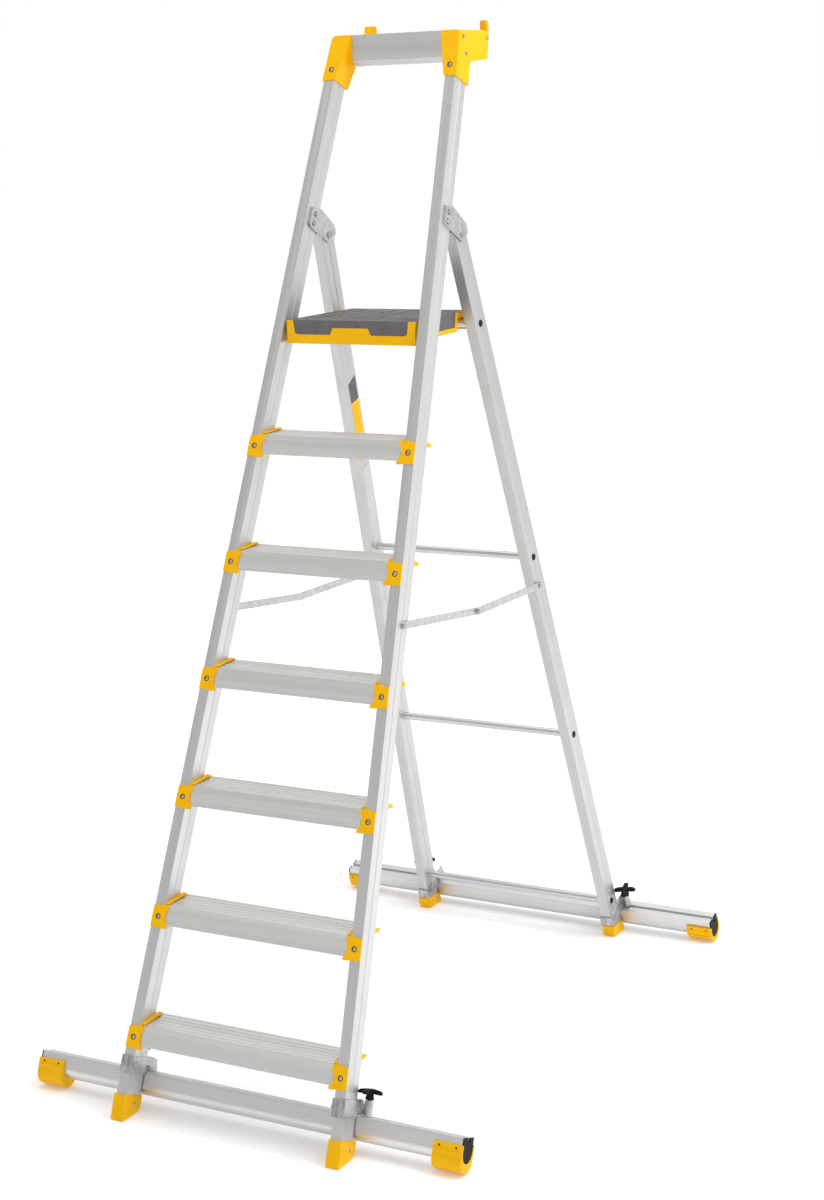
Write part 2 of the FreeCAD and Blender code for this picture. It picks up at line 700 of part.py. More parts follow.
hinge_plates = {"outer": [], "inner": []}
hinge_rivets = []
hinge_bolts = []
for side_name, side in SIDES:
    frame = front_frame(side)
    for which, facing in (("outer", side), ("inner", -side)):
        plate = hinge_plate("hinge_plate_%s_%s" % (which, side_name), facing)
        plate.Placement = frame
        hinge_plates[which].append(plate)
        for row, (y, z) in enumerate(PLATE_RIVETS):
            head = rivet("hinge_rivet_%s_%s_%d" % (which, side_name, row),
                         size("plate_wall") + size("hinge_gap") + wall)
            face = FreeCAD.Vector(
                facing * (number("stile_wide") / 2 + GAP + number("plate_wall")), y, z)
            inward = frame.Rotation.multVec(X_AXIS * -facing)
            head.Placement = place_at(frame.multVec(face), inward)
            hinge_rivets.append(passes(head, "hinge_plates_" + which,
                                       "front_stile_" + side_name))
    # The bolt lies square across the ladder, so that both hinges share one axis.
    reach = number("stile_wide") / 2 + GAP + number("plate_wall")
    shaft = cylinder("hinge_shaft_" + side_name, size("hinge_radius"), as_dim(2 * reach + 4))
    cap_a = cylinder("hinge_head_" + side_name, size("hinge_radius") + 3, 3)
    cap_b = cylinder("hinge_nut_" + side_name, size("hinge_radius") + 3, 3)
    for thing, start in ((shaft, -reach - 2), (cap_a, -reach - 2.6), (cap_b, reach - 0.4)):
        spot = FreeCAD.Vector(side * HINGE_X + start, HINGE.y, HINGE.z)
        thing.Placement = FreeCAD.Placement(spot, along(X_AXIS))
    bolt = boolean("MultiFuse", "hinge_bolt_" + side_name, [shaft, cap_a, cap_b])
    hinge_bolts.append(passes(bolt, "hinge_plates_outer", "hinge_plates_inner"))
for which in ("outer", "inner"):
    node(group("hinge_plates_" + which, hinge_plates[which]), "hinge_plates_" + which)
node(group("hinge_rivets", hinge_rivets), "hinge_rivets")
node(group("hinge_bolts", hinge_bolts), "hinge_bolts")

# ---------------------------------------------------------------- feet
FRONT_FOOT = ((-731.5, 54.6), (-750.5, 4), (-747, 0), (-702, 0), (-693, 1.4), (-685.5, 6),
              (-680.5, 12.5), (-677, 21), (-674.5, 31))
REAR_FOOT = ((-38.5, 30), (-33, 4), (-27, 0), (27, 0), (32, 5), (19.7, 28))


def round_sides(body, half, radius):
    """Rounds the edges of a centred pad's two end faces, at x = half and x = -half."""
    edges = ["Edge%d" % (row + 1) for row, edge in enumerate(body.Shape.Edges)
             if all(abs(abs(corner.X) - half) < 1e-6 for corner in edge.Vertexes)
             and len({round(corner.X) for corner in edge.Vertexes}) == 1]
    base = body.Tip
    rounding = body.newObject("PartDesign::Fillet", body.Name + "_round")
    rounding.Base = (base, edges)
    bind(rounding, "Radius", radius)
    doc.recompute()


def foot(name, outline, start_y, middle_x, side, core):
    body = doc.addObject("PartDesign::Body", name + "_boot")
    sketch = new_sketch(body, name + "_side", "YZ_Plane")
    add_outline(sketch, [(start_y + y, z) for y, z in outline])
    pad(body, sketch, size("stile_wide") + size("foot_wall") * 2, middle=True)
    round_sides(body, number("stile_wide") / 2 + number("foot_wall"), size("foot_round"))
    body.Placement = FreeCAD.Placement(FreeCAD.Vector(side * middle_x, 0, 0), FreeCAD.Rotation())
    return node(cut(name, body, core), name)


rear_rivets = []
for side_name, side in SIDES:
    core = stile_core("front_foot_core_" + side_name, side, number("front_start"), 200)
    foot("front_foot_" + side_name, FRONT_FOOT, 0, front_half(35), side, core)
    core = block("rear_foot_core_" + side_name, size("stile_wide"), size("stile_deep"), 200)
    corner = FreeCAD.Vector(-number("stile_wide") / 2, -number("stile_deep") / 2,
                            number("rear_start"))
    core.Placement = rear_frame(side).multiply(FreeCAD.Placement(corner, FreeCAD.Rotation()))
    foot("rear_foot_" + side_name, REAR_FOOT, REAR_FLOOR_Y, rear_half(20), side, core)
    for facing in (side, -side):
        reach = number("stile_wide") / 2 + number("foot_wall")
        head = rivet("front_foot_rivet_%s_%d" % (side_name, facing + 1), size("foot_wall"))
        spot = FreeCAD.Vector(side * front_half(35) + facing * reach, -702.5, 23)
        head.Placement = place_at(spot, X_AXIS * -facing)
        front_rivets.append(passes(head, "front_foot_" + side_name, "front_stile_" + side_name))
        head = rivet("rear_foot_rivet_%s_%d" % (side_name, facing + 1), size("foot_wall"))
        spot = FreeCAD.Vector(side * rear_half(20) + facing * reach, REAR_FLOOR_Y + 6, 19)
        head.Placement = place_at(spot, X_AXIS * -facing)
        rear_rivets.append(passes(head, "rear_foot_" + side_name, "rear_stile_" + side_name))
node(group("front_rivets", front_rivets), "front_rivets")
node(group("rear_rivets", rear_rivets), "rear_rivets")

# ---------------------------------------------------------------- crossbars and plugs
plugs = []
for row, up_along in enumerate(CROSSBARS):
    name = "crossbar_%d" % (row + 1)
    reach = rear_half(up_along) + number("stile_wide") / 2 - 1
    body = doc.addObject("PartDesign::Body", name)
    ring = new_sketch(body, name + "_ring", "YZ_Plane")
    add_circle(ring, 0, 0, size("bar_radius"))
    add_circle(ring, 0, 0, size("bar_radius") - size("bar_wall"))
    pad(body, ring, as_dim(2 * reach), middle=True)
    node(body, name, FreeCAD.Placement(rear_point(0, 0, up_along), FreeCAD.Rotation()))
    room = cylinder(name + "_room", size("bar_radius"), as_dim(2 * reach + 20))
    room.Placement = FreeCAD.Placement(rear_point(-reach - 10, 0, up_along), along(X_AXIS))
    passes(room, "rear_stile_left", "rear_stile_right")
    for side_name, side in SIDES:
        stem = cylinder("plug_stem_%d_%s" % (row, side_name),
                        size("bar_radius") - size("bar_wall"), 12)
        head = cylinder("plug_head_%d_%s" % (row, side_name), size("plug_radius"), 2.2)
        stem.Placement = FreeCAD.Placement(
            rear_point(side * (reach - 12), 0, up_along), along(X_AXIS * side))
        head.Placement = FreeCAD.Placement(
            rear_point(side * reach, 0, up_along), along(X_AXIS * side))
        plugs.append(boolean("MultiFuse", "plug_%d_%s" % (row, side_name), [stem, head]))
node(group("crossbar_plugs", plugs), "crossbar_plugs")

# ---------------------------------------------------------------- platform
# Built with its origin at the platform's pivot.
PIVOT = FreeCAD.Vector(0, number("deck_pivot_y"), number("deck_pivot_z"))
front_y = size("deck_front_y") - size("deck_pivot_y")
rear_y = size("deck_rear_y") - size("deck_pivot_y")
deck_top = size("deck_z") - size("deck_pivot_z")
SHELF_Y = 186.0
SHELF_Z = 13.5
FRAME_LOW = -24.0
SIDE_LOW = -16.0
half_front = size("deck_front_half")
half_rear = size("deck_rear_half")
taper_rate = (half_front - half_rear) / (rear_y - front_y)


def plan(inset, front_inset, rear_inset):
    """Plan outline of the platform, pulled in from its sides, front and rear."""
    y_front = front_y + front_inset
    y_rear = rear_y - rear_inset
    x_front = half_front - taper_rate * front_inset - inset
    x_rear = half_rear + taper_rate * rear_inset - inset
    return [(-x_front, y_front), (x_front, y_front), (x_rear, y_rear), (-x_rear, y_rear)]


SKIRT_FRONT = ((-144, 27), (-140, -1), (-132, -4), (-51, -4), (-44, 11), (44, 11), (51, -4),
               (132, -4), (140, -1), (144, 27))
SKIRT_SIDE = ((-14, 27), (-8, -6), (170, -6), (176, 27))
wall_plan = plan(0, 0, 0)
deck_plate = prism("deck_plate_solid", plan(4, 4, 6), deck_top - size("deck_plate"), deck_top)
skirt_ring = cut("deck_skirt_ring",
                 prism("deck_skirt_outer", plan(0.6, 0.6, 6), -6, deck_top),
                 prism("deck_skirt_inner", plan(4, 4, 10), -7, deck_top + 1))
front_mask = profile_slab("deck_front_mask", "XZ_Plane", SKIRT_FRONT, 40, offset=10.0)
side_mask = profile_slab("deck_side_mask", "YZ_Plane", SKIRT_SIDE, 400)
masks = boolean("MultiFuse", "deck_masks", [front_mask, side_mask])
skirts = boolean("MultiCommon", "deck_skirts", [skirt_ring, masks])
deck = boolean("MultiFuse", "deck_whole", [deck_plate, skirts])

ring_outer = prism("carrier_outer", wall_plan, FRAME_LOW, deck_top - 0.5)
ring_inner = prism("carrier_inner", plan(number("deck_wall"), 7, 7), FRAME_LOW - 1, deck_top + 1)
ring = cut("carrier_ring", ring_outer, ring_inner)
SIDE_CUT = ((20, FRAME_LOW - 5), (40, SIDE_LOW), (SHELF_Y - 6, SIDE_LOW), (SHELF_Y, SHELF_Z),
            (233.5, SHELF_Z), (233.5, SIDE_LOW), (300, SIDE_LOW), (300, FRAME_LOW - 5))
side_cut = profile_slab("carrier_side_cut", "YZ_Plane", SIDE_CUT, 400)
shaped = cut("carrier_shaped", ring, side_cut)
shelf = prism("carrier_shelf", plan(3, 0, 3), SHELF_Z, deck_top - size("deck_plate") - 0.02)
shelf_mask = profile_slab("carrier_shelf_mask", "YZ_Plane",
                          ((SHELF_Y - 14, 0), (238, 0), (238, 40), (SHELF_Y - 14, 40)), 400)
shelf_part = boolean("MultiCommon", "carrier_shelf_part", [shelf, shelf_mask])
carrier_whole = boolean("MultiFuse", "carrier_whole", [shaped, shelf_part])
# The carrier's skin is open where the deck's skirts hang down over it.
skin_ring = cut("carrier_skin_ring",
                prism("carrier_skin_outer", plan(-2, -2, 6), -6, deck_top + 1),
                prism("carrier_skin_inner", plan(4, 4, 10), -7, deck_top + 2))
skin = boolean("MultiCommon", "carrier_skin", [skin_ring, masks])
carrier_open = cut("carrier_open", carrier_whole, skin)
deck_place = FreeCAD.Placement(PIVOT, FreeCAD.Rotation())
pin_radius = size("stub_radius")
pins = []
pin_tools = []
for side_name, side in SIDES:
    stile_face = front_half((PIVOT.z) / math.cos(FRONT_LEAN)
                            + 35 * math.tan(FRONT_LEAN)) - number("stile_wide") / 2
    inside = number("deck_front_half") - 12
    pin = cylinder("platform_pin_" + side_name, pin_radius, as_dim(stile_face - inside + 2))
    pin.Placement = FreeCAD.Placement(PIVOT + X_AXIS * (side * inside), along(X_AXIS * side))
    pins.append(passes(pin, "front_stile_" + side_name))
    tool = cylinder("platform_bore_" + side_name, pin_radius + size("bolt_play"), 40)
    tool.Placement = FreeCAD.Placement(X_AXIS * (side * (inside - 2)), along(X_AXIS * side))
    pin_tools.append(tool)
bores = boolean("MultiFuse", "platform_bores", pin_tools)
carrier = cut("platform_frame", cut("carrier_solid", carrier_open, deck), bores)
node(carrier, "platform_frame", deck_place)
deck_cut = cut("platform_deck", deck, bores)
node(deck_cut, "platform_deck", deck_place)
node(group("platform_pins", pins), "platform_pins")

# ---------------------------------------------------------------- spreaders
FRONT_PIVOT = front_point(0, number("spreader_back"), number("spreader_along"))
REAR_PIVOT = rear_point(0, -number("spreader_off"), number("spreader_rear"))
ELBOW = FreeCAD.Vector(0, number("elbow_y"), number("elbow_z"))
LAYER = number("link_layer")
LINK = number("plate_wall")
REAR_LAYER = LAYER + LINK + number("layer_gap")


def link(name, pivot, tip, side, layer, hole):
    """A flat link from its pivot to the elbow, in the plane X = layer."""
    body = doc.addObject("PartDesign::Body", name)
    sketch = new_sketch(body, name + "_outline", "XY_Plane")
    reach = tip - pivot
    add_rounded_link(sketch, as_dim(reach.Length), size("link_half"))
    pad(body, sketch, size("plate_wall"), middle=True)
    bore = new_sketch(body, name + "_bore", "XY_Plane")
    add_circle(bore, 0, 0, hole)
    pocket(body, bore, size("plate_wall") * 3, middle=True)
    turn = FreeCAD.Rotation(reach, FreeCAD.Vector(0, 0, 0), X_AXIS, "XZY")
    middle = FreeCAD.Vector(side * (layer + LINK / 2), pivot.y, pivot.z)
    return node(body, name, FreeCAD.Placement(middle, turn))


def stub(name, pivot, side, face, outer):
    """A pivot stub out of a stile's face, with a washer below the link and a head above."""
    base = FreeCAD.Vector(side * (face - 3), pivot.y, pivot.z)
    shaft = cylinder(name + "_shaft", size("stub_radius"), as_dim(outer + 2.5 - face + 3))
    shaft.Placement = FreeCAD.Placement(base, along(X_AXIS * side))
    washer_long = outer - LINK - 0.3 - face + 0.6
    washer = cylinder(name + "_washer", size("link_half") - 1, as_dim(washer_long))
    washer.Placement = FreeCAD.Placement(
        FreeCAD.Vector(side * (face - 0.6), pivot.y, pivot.z), along(X_AXIS * side))
    head = cylinder(name + "_head", size("stub_radius") + 2.5, 2.2)
    head.Placement = FreeCAD.Placement(
        FreeCAD.Vector(side * (outer + 0.3), pivot.y, pivot.z), along(X_AXIS * side))
    return boolean("MultiFuse", name, [shaft, washer, head])


front_face_x = front_half(number("spreader_along")) + number("stile_wide") / 2
rear_face_x = rear_half(number("spreader_rear")) + number("stile_wide") / 2
hole = size("stub_radius") + size("bolt_play")
front_stubs = []
rear_stubs = []
for side_name, side in SIDES:
    link("spreader_front_" + side_name, FRONT_PIVOT, ELBOW, side, LAYER, hole)
    link("spreader_rear_" + side_name, REAR_PIVOT, ELBOW, side, REAR_LAYER, hole)
    front_stub = stub("front_stub_" + side_name, FRONT_PIVOT, side, front_face_x, LAYER + LINK)
    rear_stub = stub("rear_stub_" + side_name, REAR_PIVOT, side, rear_face_x, REAR_LAYER + LINK)
    front_stubs.append(passes(front_stub, "front_stile_" + side_name))
    rear_stubs.append(passes(rear_stub, "rear_stile_" + side_name))
    elbow = cylinder("elbow_rivet_" + side_name, size("stub_radius") + 2, 2.5)
    elbow.Placement = FreeCAD.Placement(
        FreeCAD.Vector(side * (REAR_LAYER + LINK), ELBOW.y, ELBOW.z), along(X_AXIS * side))
    node(elbow, "spreader_rivet_" + side_name)
node(group("spreader_pivots_front", front_stubs), "spreader_pivots_front")
node(group("spreader_pivots_rear", rear_stubs), "spreader_pivots_rear")

# ---------------------------------------------------------------- stabiliser bars
WING = {
    "front": (FRONT_TURN, number("stile_deep") + number("wing_gap"), number("front_wing_top"),
              front_point),
    "rear": (REAR_TURN, number("stile_deep") / 2 + number("wing_gap"), number("rear_wing_top"),
             rear_point),
}
wing_half_wide = size("wing_wide") * 0.5


def lobe(name, half_long, radius, top, low):
    """A bar with a flat top at z = top and a round bottom that reaches z = low."""
    slab = block(name + "_slab", half_long * 2, radius * 2, top - low - radius)
    slab.Placement = FreeCAD.Placement(
        FreeCAD.Vector(-half_long.value, -radius.value, (low + radius).value),
        FreeCAD.Rotation())
    rod = cylinder(name + "_rod", radius, half_long * 2)
    rod.Placement = FreeCAD.Placement(
        FreeCAD.Vector(-half_long.value, 0, (low + radius).value), along(X_AXIS))
    return boolean("MultiFuse", name, [slab, rod])


for which, (turn, back, top_along, point) in WING.items():
    middle = point(0, back + number("wing_wide") / 2, top_along)
    place = FreeCAD.Placement(middle, turn)
    tall = size("wing_tall")
    thick = size("wing_wall")
    half_long = size("wing_half")
    outer = lobe(which + "_wing_outer", half_long, wing_half_wide, as_dim(0), -tall)
    inner = lobe(which + "_wing_inner", half_long + 1, wing_half_wide - thick,
                 -thick - 6, thick - tall)
    slot = block(which + "_wing_slot", half_long * 2 + 2, size("wing_slot"), 6)
    slot.Placement = FreeCAD.Placement(
        FreeCAD.Vector(-half_long.value - 1, -number("wing_slot") / 2, -5), FreeCAD.Rotation())
    hollow = boolean("MultiFuse", which + "_wing_hollow", [inner, slot])
    node(cut(which + "_bar", outer, hollow), which + "_bar", place)

    shoes = []
    caps = []
    shoe_wall = size("shoe_wall")
    low_drop = {"front": 19.6, "rear": 11.5}[which]
    for side_name, side in SIDES:
        shell = lobe("%s_shoe_shell_%s" % (which, side_name), size("shoe_long") * 0.5,
                     wing_half_wide + shoe_wall, as_dim(-15), -tall - low_drop)
        room = lobe("%s_shoe_room_%s" % (which, side_name), size("shoe_long"),
                    wing_half_wide, as_dim(1), -tall)
        shoe = cut("%s_shoe_%s" % (which, side_name), shell, room)
        shift = FreeCAD.Vector(side * (number("wing_half") - number("shoe_long") / 2 + 4), 0, 0)
        shoe.Placement = place.multiply(FreeCAD.Placement(shift, FreeCAD.Rotation()))
        shoes.append(shoe)
        plug = lobe("%s_cap_face_%s" % (which, side_name), as_dim(1.5), wing_half_wide,
                    as_dim(0), -tall)
        plug_slot = block("%s_cap_slot_%s" % (which, side_name), 8, size("wing_slot"), 12)
        plug_slot.Placement = FreeCAD.Placement(
            FreeCAD.Vector(-4, -number("wing_slot") / 2, -9), FreeCAD.Rotation())
        cap = cut("%s_cap_%s" % (which, side_name), plug, plug_slot)
        shift = FreeCAD.Vector(side * (number("wing_half") + 1.5), 0, 0)
        cap.Placement = place.multiply(FreeCAD.Placement(shift, FreeCAD.Rotation()))
        caps.append(cap)
    node(group(which + "_bar_shoes", shoes), which + "_bar_shoes")
    node(group(which + "_bar_caps", caps), which + "_bar_caps")

# ---------------------------------------------------------------- clamps and star knobs
# Local axes of the stile; "near" is the stile's front face, "strap_*" its height range.
CLAMPS = {
    "front": {"frame": front_frame, "near": 0.0, "low": 102.5, "high": 140.5, "bar": 108.0,
              "brow": ((-3, 140.5), (66, 140.5), (88, 134))},
    "rear": {"frame": rear_frame, "near": -25.0, "low": 42.0, "high": 66.0, "bar": 52.2,
             "brow": ((-28, 66), (-12, 66), (36, 84), (62, 84))},
}
CLEAR = 1.4


def strap(name, clamp, side):
    """A folded strap: a front band, two side plates, and a screw tube on the outer one."""
    near = clamp["near"]
    far = near + number("stile_deep")
    thick = number("strap_wall")
    rear_edge = far + number("wing_gap") + number("wing_wide") - 2
    bar_top = clamp["bar"] + CLEAR
    half = number("stile_wide") / 2
    outline = [(near - thick, clamp["low"]), (far + 1.5, clamp["low"]), (far + 1.5, bar_top),
               (rear_edge, bar_top)] + list(reversed(clamp["brow"]))
    pieces = []
    for facing in (-1, 1):
        start = facing * half + (0 if facing > 0 else -thick)
        plate = doc.addObject("PartDesign::Body", "%s_plate_%d" % (name, facing + 1))
        sketch = new_sketch(plate, plate.Name + "_outline", "YZ_Plane")
        sketch.AttachmentOffset = FreeCAD.Placement(
            FreeCAD.Vector(0, 0, start), FreeCAD.Rotation())
        add_outline(sketch, outline)
        pad(plate, sketch, size("strap_wall"))
        pieces.append(plate)
    band = block(name + "_band", size("stile_wide") + size("strap_wall") * 2,
                 size("strap_wall"), as_dim(clamp["high"] - clamp["low"]))
    band.Placement = FreeCAD.Placement(
        FreeCAD.Vector(-half - thick, near - thick, clamp["low"]), FreeCAD.Rotation())
    pieces.append(band)
    screw_y = far + number("wing_gap") + number("wing_wide") / 2
    tube_top = clamp["brow"][-1][1] if clamp["near"] < 0 else clamp["high"] - 1.5
    tube = cylinder(name + "_tube", size("tube_radius"), as_dim(tube_top - bar_top))
    tube.Placement = FreeCAD.Placement(
        FreeCAD.Vector(side * number("screw_out"), screw_y, bar_top), FreeCAD.Rotation())
    pieces.append(tube)
    web = block(name + "_web", size("screw_out") - half - 1, as_dim(10),
                as_dim(tube_top - bar_top - 8))
    web_x = half + 1 if side > 0 else -number("screw_out")
    web.Placement = FreeCAD.Placement(
        FreeCAD.Vector(web_x, screw_y - 5, bar_top), FreeCAD.Rotation())
    pieces.append(web)
    bore = cylinder(name + "_bore", size("screw_radius") + size("bolt_play"), 80)
    bore.Placement = FreeCAD.Placement(
        FreeCAD.Vector(side * number("screw_out"), screw_y, bar_top - 20), FreeCAD.Rotation())
    solid = boolean("MultiFuse", name + "_solid", pieces)
    return cut(name, solid, bore), screw_y, tube_top, bar_top


def clamp_bolt(name, clamp, side):
    """A cross bolt behind the stile with a head outside and a nut inside, and a side stud."""
    half = number("stile_wide") / 2 + number("strap_wall")
    far = clamp["near"] + number("stile_deep")
    y, z = far + 9, clamp["bar"] + 8
    shaft = cylinder(name + "_shaft", 2.8, as_dim(2 * half + 12))
    shaft.Placement = FreeCAD.Placement(FreeCAD.Vector(-half - 7, y, z), along(X_AXIS))
    head = cylinder(name + "_head", 5.4, 3.4)
    head.Placement = FreeCAD.Placement(FreeCAD.Vector(half, y, z), along(X_AXIS))
    nut = doc.addObject("Part::Prism", name + "_nut")
    nut.Polygon = 6
    nut.Circumradius = 5.6
    nut.Height = 4.4
    nut.Placement = FreeCAD.Placement(FreeCAD.Vector(-half - 4.4, y, z), along(X_AXIS))
    turn = FreeCAD.Rotation(Z_AXIS, 0 if side > 0 else 180)
    bolt = boolean("MultiFuse", name, [shaft, head, nut])
    bolt.Placement = FreeCAD.Placement(
        FreeCAD.Vector(0, 0 if side > 0 else 2 * y, 0), turn)
    stud = cylinder(name + "_stud", 9.5, 3)
    stud.Placement = FreeCAD.Placement(
        FreeCAD.Vector(-side * half, clamp["near"] + 9, (clamp["low"] + clamp["high"]) / 2),
        along(X_AXIS * -side))
    return [bolt, stud]


def star_knob(name, screw_long):
    """A four-armed knob: screw below z = 0, hub and arms above."""
    body = doc.addObject("PartDesign::Body", name)
    hub = new_sketch(body, name + "_hub", "XY_Plane")
    add_circle(hub, 0, 0, size("knob_hub"))
    pad(body, hub, as_dim(23))
    arm = new_sketch(body, name + "_arm", "XY_Plane")
    arm.AttachmentOffset = FreeCAD.Placement(FreeCAD.Vector(0, 0, 14), FreeCAD.Rotation())
    reach = size("knob_radius")
    add_outline(arm, [(0, -7.5), (reach - 7, -5.2), (reach - 1.5, -4.2), (reach, -2),
                      (reach, 2), (reach - 1.5, 4.2), (reach - 7, 5.2), (0, 7.5)])
    first = pad(body, arm, as_dim(8))
    star = body.newObject("PartDesign::PolarPattern", name + "_star")
    star.Originals = [first]
    star.Axis = (hub, ["N_Axis"])
    star.Angle = 360
    star.Occurrences = 4
    body.Tip = star
    doc.recompute()
    screw = new_sketch(body, name + "_screw", "XY_Plane")
    add_circle(screw, 0, 0, size("screw_radius"))
    pad(body, screw, as_dim(screw_long), backwards=True)
    return body


for which, clamp in CLAMPS.items():
    bolts = []
    for side_name, side in SIDES:
        frame = clamp["frame"](side)
        name = "%s_clamp_%s" % (which, side_name)
        bracket, screw_y, tube_top, bar_top = strap(name, clamp, side)
        node(bracket, name, frame)
        for thing in clamp_bolt("%s_bolt_%s" % (which, side_name), clamp, side):
            thing.Placement = frame.multiply(thing.Placement)
            bolts.append(passes(thing, name))
        knob_name = "%s_knob_%s" % (which, side_name)
        lift = tube_top + 1.2
        knob = star_knob(knob_name, lift - bar_top + 0.2)
        spot = FreeCAD.Placement(
            FreeCAD.Vector(side * number("screw_out"), screw_y, lift), FreeCAD.Rotation())
        node(knob, knob_name, frame.multiply(spot))
    node(group(which + "_clamp_bolts", bolts), which + "_clamp_bolts")

# ---------------------------------------------------------------- passages, checks, export
nodes = []
for label, thing in PIECES.items():
    if label in PASSAGES:
        thing.Label = label + "_whole"
        tools = boolean("MultiFuse", label + "_passages", PASSAGES[label])
        thing = cut(label + "_pierced", thing, tools)
    thing.Label = label
    nodes.append(thing)

doc.recompute()
for item in doc.Objects:
    if "Invalid" in item.State or "Error" in item.State:
        raise RuntimeError("%s did not build: %s" % (item.Name, item.State))
for item in nodes:
    if item.Shape.isNull() or not item.Shape.isValid():
        raise RuntimeError("%s has no valid shape" % item.Label)
for item in nodes:
    item.Shape.exportStep("parts/%s.step" % item.Label)
print("pieces:", len(nodes), "solids:", sum(len(item.Shape.Solids) for item in nodes))
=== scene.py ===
import json
import math

import bpy
from mathutils import Matrix, Vector


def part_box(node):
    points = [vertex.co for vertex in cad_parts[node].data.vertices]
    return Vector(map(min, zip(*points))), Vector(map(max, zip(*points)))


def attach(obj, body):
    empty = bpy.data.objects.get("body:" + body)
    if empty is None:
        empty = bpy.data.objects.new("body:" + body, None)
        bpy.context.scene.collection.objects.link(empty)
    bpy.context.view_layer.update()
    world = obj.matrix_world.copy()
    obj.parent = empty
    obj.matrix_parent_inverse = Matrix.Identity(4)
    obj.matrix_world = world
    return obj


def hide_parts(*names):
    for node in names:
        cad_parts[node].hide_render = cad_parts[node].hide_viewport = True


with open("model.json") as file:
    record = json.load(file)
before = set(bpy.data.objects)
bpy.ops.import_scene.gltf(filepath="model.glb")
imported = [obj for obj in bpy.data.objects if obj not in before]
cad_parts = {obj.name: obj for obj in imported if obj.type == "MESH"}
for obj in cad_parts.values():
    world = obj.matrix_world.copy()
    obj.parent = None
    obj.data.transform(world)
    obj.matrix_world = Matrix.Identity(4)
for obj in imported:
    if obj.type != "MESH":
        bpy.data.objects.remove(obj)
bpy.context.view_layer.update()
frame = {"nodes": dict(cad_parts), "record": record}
nodes = frame["nodes"]


# ---------------------------------------------------------------- material helpers
class Mat:
    """A material under construction: adds nodes and links them by name."""

    def __init__(self, name, edge=0.0):
        self.mat = bpy.data.materials.new(name)
        self.mat.use_nodes = True
        self.tree = self.mat.node_tree
        self.bsdf = self.tree.nodes["Principled BSDF"]
        self.coord = self.tree.nodes.new("ShaderNodeTexCoord").outputs["Object"]
        self.normal = None
        if edge > 0:
            bevel = self.node("Bevel", samples=4)
            bevel.inputs["Radius"].default_value = edge
            self.normal = bevel.outputs["Normal"]

    def node(self, kind, **values):
        made = self.tree.nodes.new("ShaderNode" + kind)
        for key, value in values.items():
            setattr(made, key, value)
        return made

    def link(self, source, target):
        self.tree.links.new(source, target)

    def plain(self, **values):
        for key, value in values.items():
            self.bsdf.inputs[key.replace("_", " ")].default_value = value

    def stretched(self, scale, turn=(0, 0, 0)):
        """Coordinates turned into the axes of a leaning part, then scaled."""
        mapping = self.node("Mapping", vector_type="TEXTURE")
        mapping.inputs["Scale"].default_value = [1 / factor for factor in scale]
        mapping.inputs["Rotation"].default_value = turn
        self.link(self.coord, mapping.inputs["Vector"])
        return mapping.outputs["Vector"]

    def noise(self, scale, detail=3.0, rough=0.55, vector=None):
        made = self.node("TexNoise")
        made.inputs["Scale"].default_value = scale
        made.inputs["Detail"].default_value = detail
        made.inputs["Roughness"].default_value = rough
        self.link(vector or self.coord, made.inputs["Vector"])
        return made.outputs["Fac"]

    def ramp(self, value, low, high, out_low=0.0, out_high=1.0):
        made = self.node("MapRange")
        for index, number in enumerate((low, high, out_low, out_high), start=1):
            made.inputs[index].default_value = number
        self.link(value, made.inputs[0])
        return made.outputs[0]

    def mix(self, factor, a, b):
        made = self.node("Mix", data_type="RGBA")
        for socket, value in ((0, factor), (6, a), (7, b)):
            if isinstance(value, (tuple, float)):
                made.inputs[socket].default_value = value
            else:
                self.link(value, made.inputs[socket])
        return made.outputs[2]

    def math(self, kind, a, b):
        made = self.node("Math", operation=kind)
        for socket, value in ((0, a), (1, b)):
            if isinstance(value, (int, float)):
                made.inputs[socket].default_value = value
            else:
                self.link(value, made.inputs[socket])
        return made.outputs[0]

    def bump(self, height, strength, distance=0.001):
        """Adds a bump on top of the ones before it and of the rounded edges."""
        made = self.node("Bump")
        made.inputs["Strength"].default_value = strength
        made.inputs["Distance"].default_value = distance
        self.link(height, made.inputs["Height"])
        if self.normal is not None:
            self.link(self.normal, made.inputs["Normal"])
        self.normal = made.outputs["Normal"]
        self.link(self.normal, self.bsdf.inputs["Normal"])

    def color(self, socket):
        self.link(socket, self.bsdf.inputs["Base Color"])

    def rough(self, socket):
        self.link(socket, self.bsdf.inputs["Roughness"])


def rgba(r, g, b):
    return (r, g, b, 1.0)


def grey(value):
    return rgba(value, value, value)


FINE_LINES, BROAD_BANDS = 240.0, 45.0


